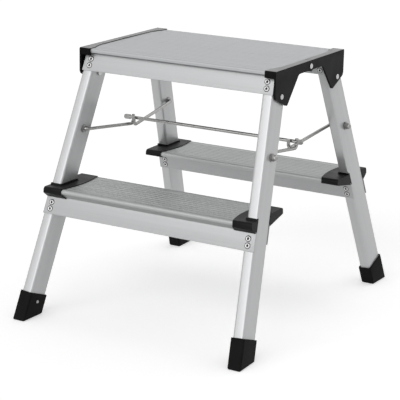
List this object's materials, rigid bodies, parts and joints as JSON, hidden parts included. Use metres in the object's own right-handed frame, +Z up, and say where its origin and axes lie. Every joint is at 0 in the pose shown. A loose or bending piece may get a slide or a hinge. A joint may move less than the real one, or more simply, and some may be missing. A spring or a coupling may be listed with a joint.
{
  "type": "folding step stool",
  "caption": "Double-sided folding step stool: two leaning ladder frames, a split hinged platform, ribbed treads and hooked wire braces, standing open.",
  "frame": {"origin": "on the floor, at the middle of the footprint of the open stool", "axes": "+Z up, X along the treads, the front frame leans towards -Y and the rear frame towards +Y"},
  "size_m": [0.453, 0.5748, 0.46],
  "materials": {
    "stile_aluminium": "satin anodised",
    "step_aluminium": "ribbed, satin anodised",
    "black_plastic": "moulded, fine grain",
    "black_rubber": "matt",
    "nylon": "natural",
    "zinc_plated_steel": "zinc plated",
    "rivet_steel": "bright"
  },
  "bodies": {
    "front_frame": {"front_stile_right": "stile_aluminium", "front_stile_left": "stile_aluminium", "front_tread_cap_right": "black_plastic", "front_tread_cap_left": "black_plastic", "front_foot_right": "black_rubber", "front_foot_left": "black_rubber", "front_top_rail": "step_aluminium", "front_tread": "step_aluminium", "front_rail_rivets": "rivet_steel", "front_tread_rivets": "rivet_steel", "front_foot_screws": "zinc_plated_steel", "front_pivot_rivets": "rivet_steel", "front_pivot_bushes": "nylon"},
    "front_platform_half": {"front_platform": "step_aluminium", "front_bracket_right": "black_plastic", "front_bracket_left": "black_plastic"},
    "rear_platform_half": {"rear_platform": "step_aluminium", "rear_bracket_right": "black_plastic", "rear_bracket_left": "black_plastic", "centre_rivets": "rivet_steel"},
    "rear_frame": {"rear_stile_right": "stile_aluminium", "rear_stile_left": "stile_aluminium", "rear_tread_cap_right": "black_plastic", "rear_tread_cap_left": "black_plastic", "rear_foot_right": "black_rubber", "rear_foot_left": "black_rubber", "rear_top_rail": "step_aluminium", "rear_tread": "step_aluminium", "rear_rail_rivets": "rivet_steel", "rear_tread_rivets": "rivet_steel", "rear_foot_screws": "zinc_plated_steel", "rear_pivot_rivets": "rivet_steel", "rear_pivot_bushes": "nylon"},
    "front_braces": {"front_brace_right": "zinc_plated_steel", "front_brace_left": "zinc_plated_steel", "cross_rod": "zinc_plated_steel", "front_brace_washers": "zinc_plated_steel", "front_brace_nuts": "zinc_plated_steel"},
    "rear_braces": {"rear_brace_right": "zinc_plated_steel", "rear_brace_left": "zinc_plated_steel", "rear_brace_washers": "zinc_plated_steel", "rear_brace_nuts": "zinc_plated_steel"}
  },
  "joints": [
    {"name": "platform_fold", "type": "hinge", "parent": "front_platform_half", "child": "rear_platform_half", "pos_m": [0, 0, 0.4495], "axis": [-1, 0, 0], "range_deg": [0, 66.06]},
    {"name": "front_stile_pivot", "type": "hinge", "parent": "front_frame", "child": "front_platform_half", "pos_m": [0, -0.10546, 0.4146], "axis": [1, 0, 0], "range_deg": [0, 12.43]},
    {"name": "rear_stile_pivot", "type": "hinge", "parent": "rear_platform_half", "child": "rear_frame", "pos_m": [0, 0.10546, 0.4146], "axis": [1, 0, 0], "range_deg": [0, 12.43]},
    {"name": "front_brace_pivot", "type": "hinge", "parent": "front_frame", "child": "front_braces", "pos_m": [0, -0.14104, 0.31996], "axis": [1, 0, 0], "range_deg": [0, 41.75]},
    {"name": "rear_brace_pivot", "type": "hinge", "parent": "rear_frame", "child": "rear_braces", "pos_m": [0, 0.14104, 0.31996], "axis": [-1, 0, 0], "range_deg": [0, 41.75]}
  ],
  "couplings": [
    {"joint": "front_stile_pivot", "follows": "platform_fold", "ratio": 0.18814},
    {"joint": "rear_stile_pivot", "follows": "platform_fold", "ratio": 0.18814},
    {"joint": "front_brace_pivot", "follows": "platform_fold", "ratio": 0.63208},
    {"joint": "rear_brace_pivot", "follows": "platform_fold", "ratio": 0.63208}
  ]
}
